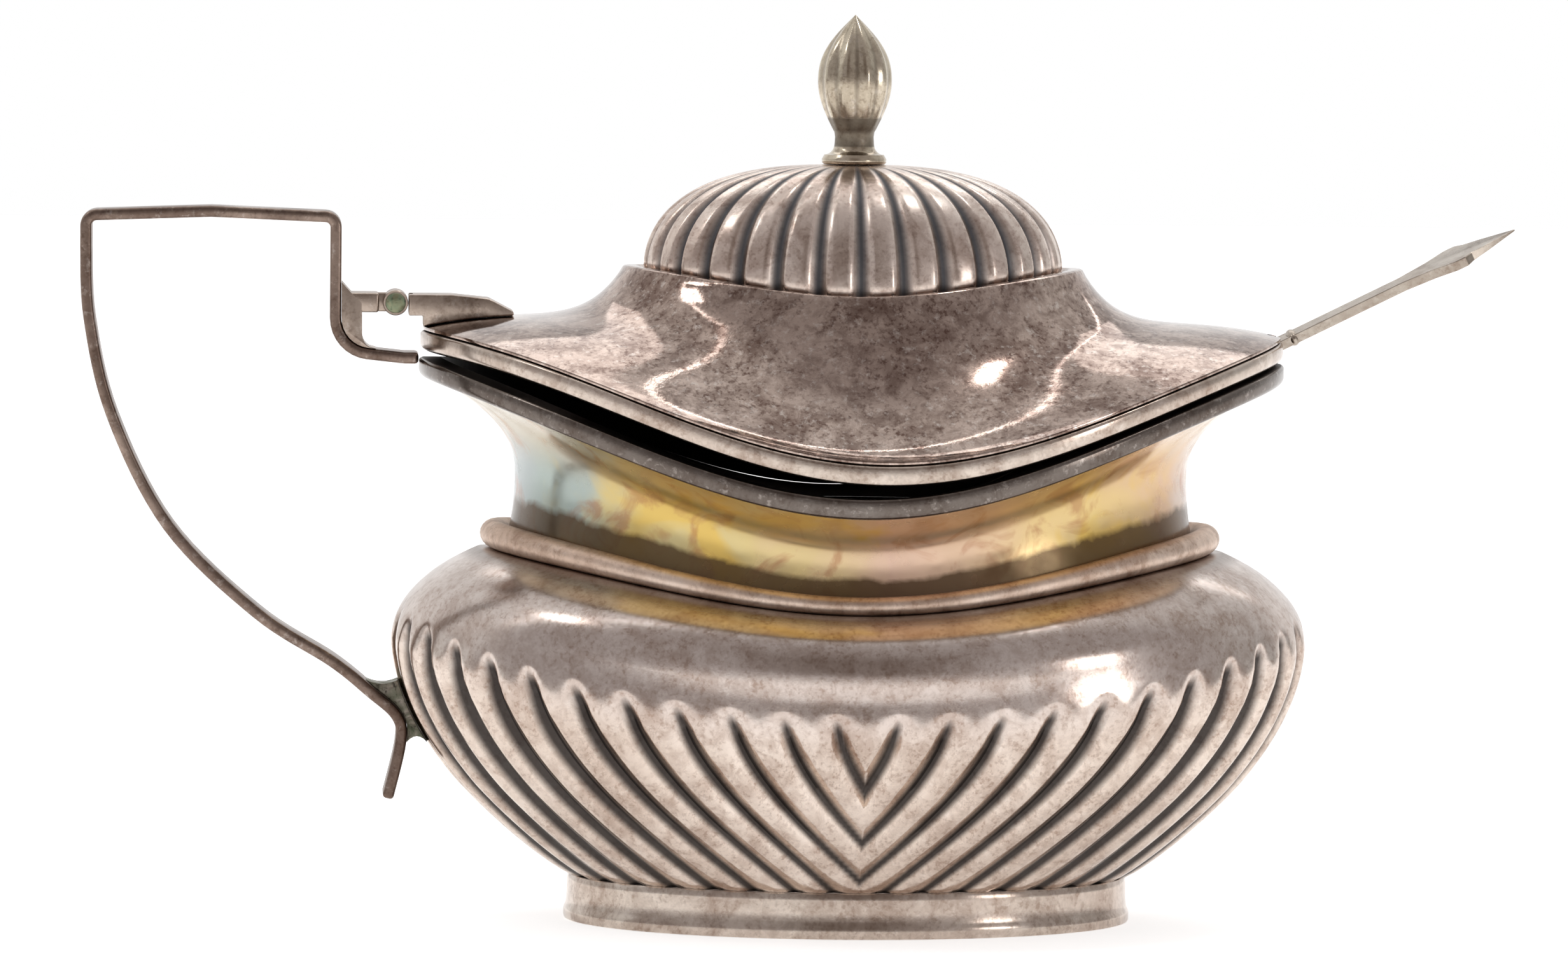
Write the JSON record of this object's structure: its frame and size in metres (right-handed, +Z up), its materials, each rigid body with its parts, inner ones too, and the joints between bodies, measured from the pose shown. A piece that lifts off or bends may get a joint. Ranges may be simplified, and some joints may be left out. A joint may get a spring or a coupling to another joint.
{
  "type": "mustard pot",
  "caption": "Oval silver mustard pot with a reeded boat-shaped bowl, hinged domed lid with a bud finial, angular strap handle, glass liner and spoon.",
  "frame": {"origin": "middle of the oval foot, on the table it stands on", "axes": "+Z up; +X along the oval from the handle to the spoon; the front with the heart faces -Y"},
  "size_m": [0.1206, 0.055, 0.076],
  "materials": {
    "silver": "old polished silver with brown tarnish in the hollows",
    "lid_silver": "old polished silver under a speckled brown and purple patina",
    "gilded_silver": "silver with a gold, orange and blue-green tarnish film",
    "dark_silver": "darkly tarnished silver, bright where it is rubbed",
    "solder": "greenish, dull solder",
    "pin_brass": "brass with green verdigris",
    "spoon_silver": "bright worn silver",
    "blue_glass": "clear dark blue moulded glass"
  },
  "bodies": {
    "pot": {"foot_ring": "silver", "bowl": "silver", "shoulder_bead": "silver", "neck_band": "gilded_silver", "rim_wire": "silver", "glass_liner": "blue_glass", "handle_strap": "dark_silver", "handle_pad": "solder", "hinge_lug": "dark_silver", "hinge_pin": "pin_brass"},
    "lid": {"lid_rim_wire": "silver", "lid_skirt": "lid_silver", "lid_dome": "lid_silver", "hinge_leaf": "dark_silver", "lid_knuckles": "dark_silver", "finial": "silver", "finial_nut": "dark_silver"},
    "spoon": {"spoon": "spoon_silver"}
  },
  "joints": [
    {"name": "lid_hinge", "type": "hinge", "parent": "pot", "child": "lid", "pos_m": [-0.0383, 0, 0.0516], "axis": [0, -1, 0], "range_deg": [0, 105]},
    {"name": "spoon_slide", "type": "slide", "parent": "pot", "child": "spoon", "axis": [0.8965, 0, 0.4431], "range_m": [0, 0.036]}
  ]
}
